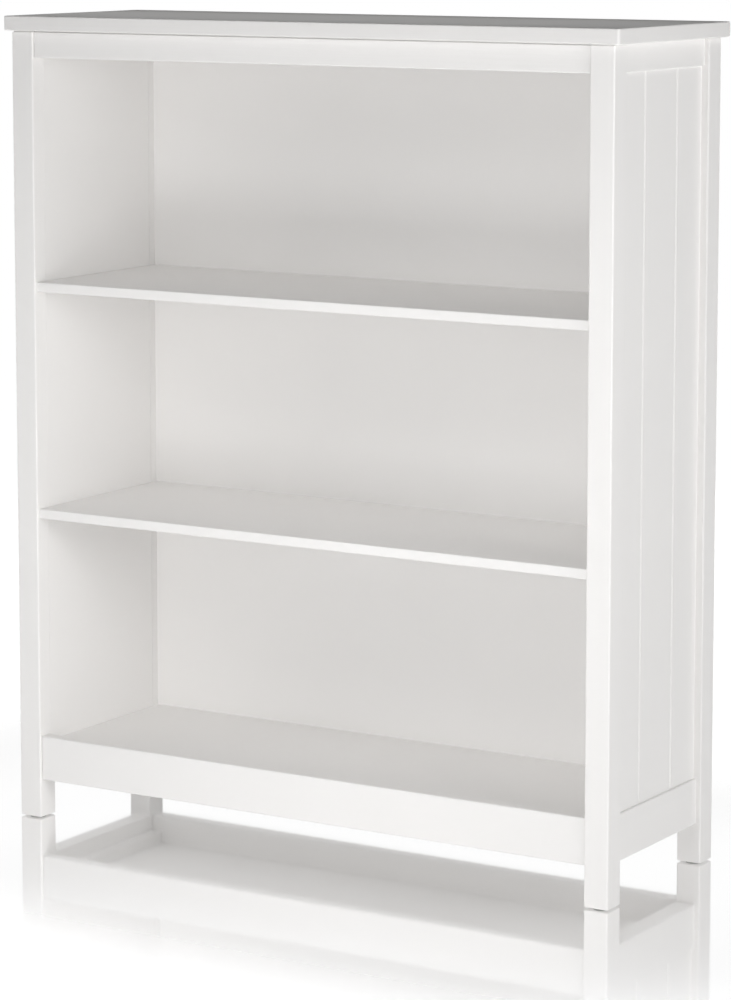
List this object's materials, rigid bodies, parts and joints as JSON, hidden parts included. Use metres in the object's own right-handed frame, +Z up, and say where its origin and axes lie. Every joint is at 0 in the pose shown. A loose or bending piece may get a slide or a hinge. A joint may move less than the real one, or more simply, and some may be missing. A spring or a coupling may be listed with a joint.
{
  "type": "bookcase",
  "caption": "White painted open bookcase with square posts, framed V-grooved sides, three shelves, a lipped bottom rail and an overhanging top board.",
  "frame": {"origin": "on the floor, under the middle of the top board", "axes": "+Z up, -Y towards the front, +X to the right as seen from the front"},
  "size_m": [1.034, 0.343, 1.222],
  "materials": {
    "painted_wood": "white satin paint on solid wood",
    "painted_fibreboard": "white satin paint on fibreboard",
    "zinc_fitting": "bright zinc plate",
    "glide_plastic": "grey moulded plastic"
  },
  "bodies": {
    "root": {"back_panel": "painted_fibreboard", "bottom_front_rail": "painted_wood", "bottom_rear_rail": "painted_wood", "bottom_shelf": "painted_wood", "foot_glides": "glide_plastic", "front_left_post": "painted_wood", "front_right_post": "painted_wood", "left_bottom_side_rail": "painted_wood", "left_grooved_panel": "painted_fibreboard", "left_shelf_batten": "painted_wood", "left_side_lining": "painted_fibreboard", "left_top_side_rail": "painted_wood", "lower_shelf": "painted_wood", "rear_left_post": "painted_wood", "rear_right_post": "painted_wood", "right_bottom_side_rail": "painted_wood", "right_grooved_panel": "painted_fibreboard", "right_shelf_batten": "painted_wood", "right_side_lining": "painted_fibreboard", "right_top_side_rail": "painted_wood", "shelf_pins": "zinc_fitting", "top_board": "painted_wood", "top_board_screws": "zinc_fitting", "top_front_rail": "painted_wood", "top_rear_rail": "painted_wood", "upper_shelf": "painted_wood"}
  },
  "joints": []
}
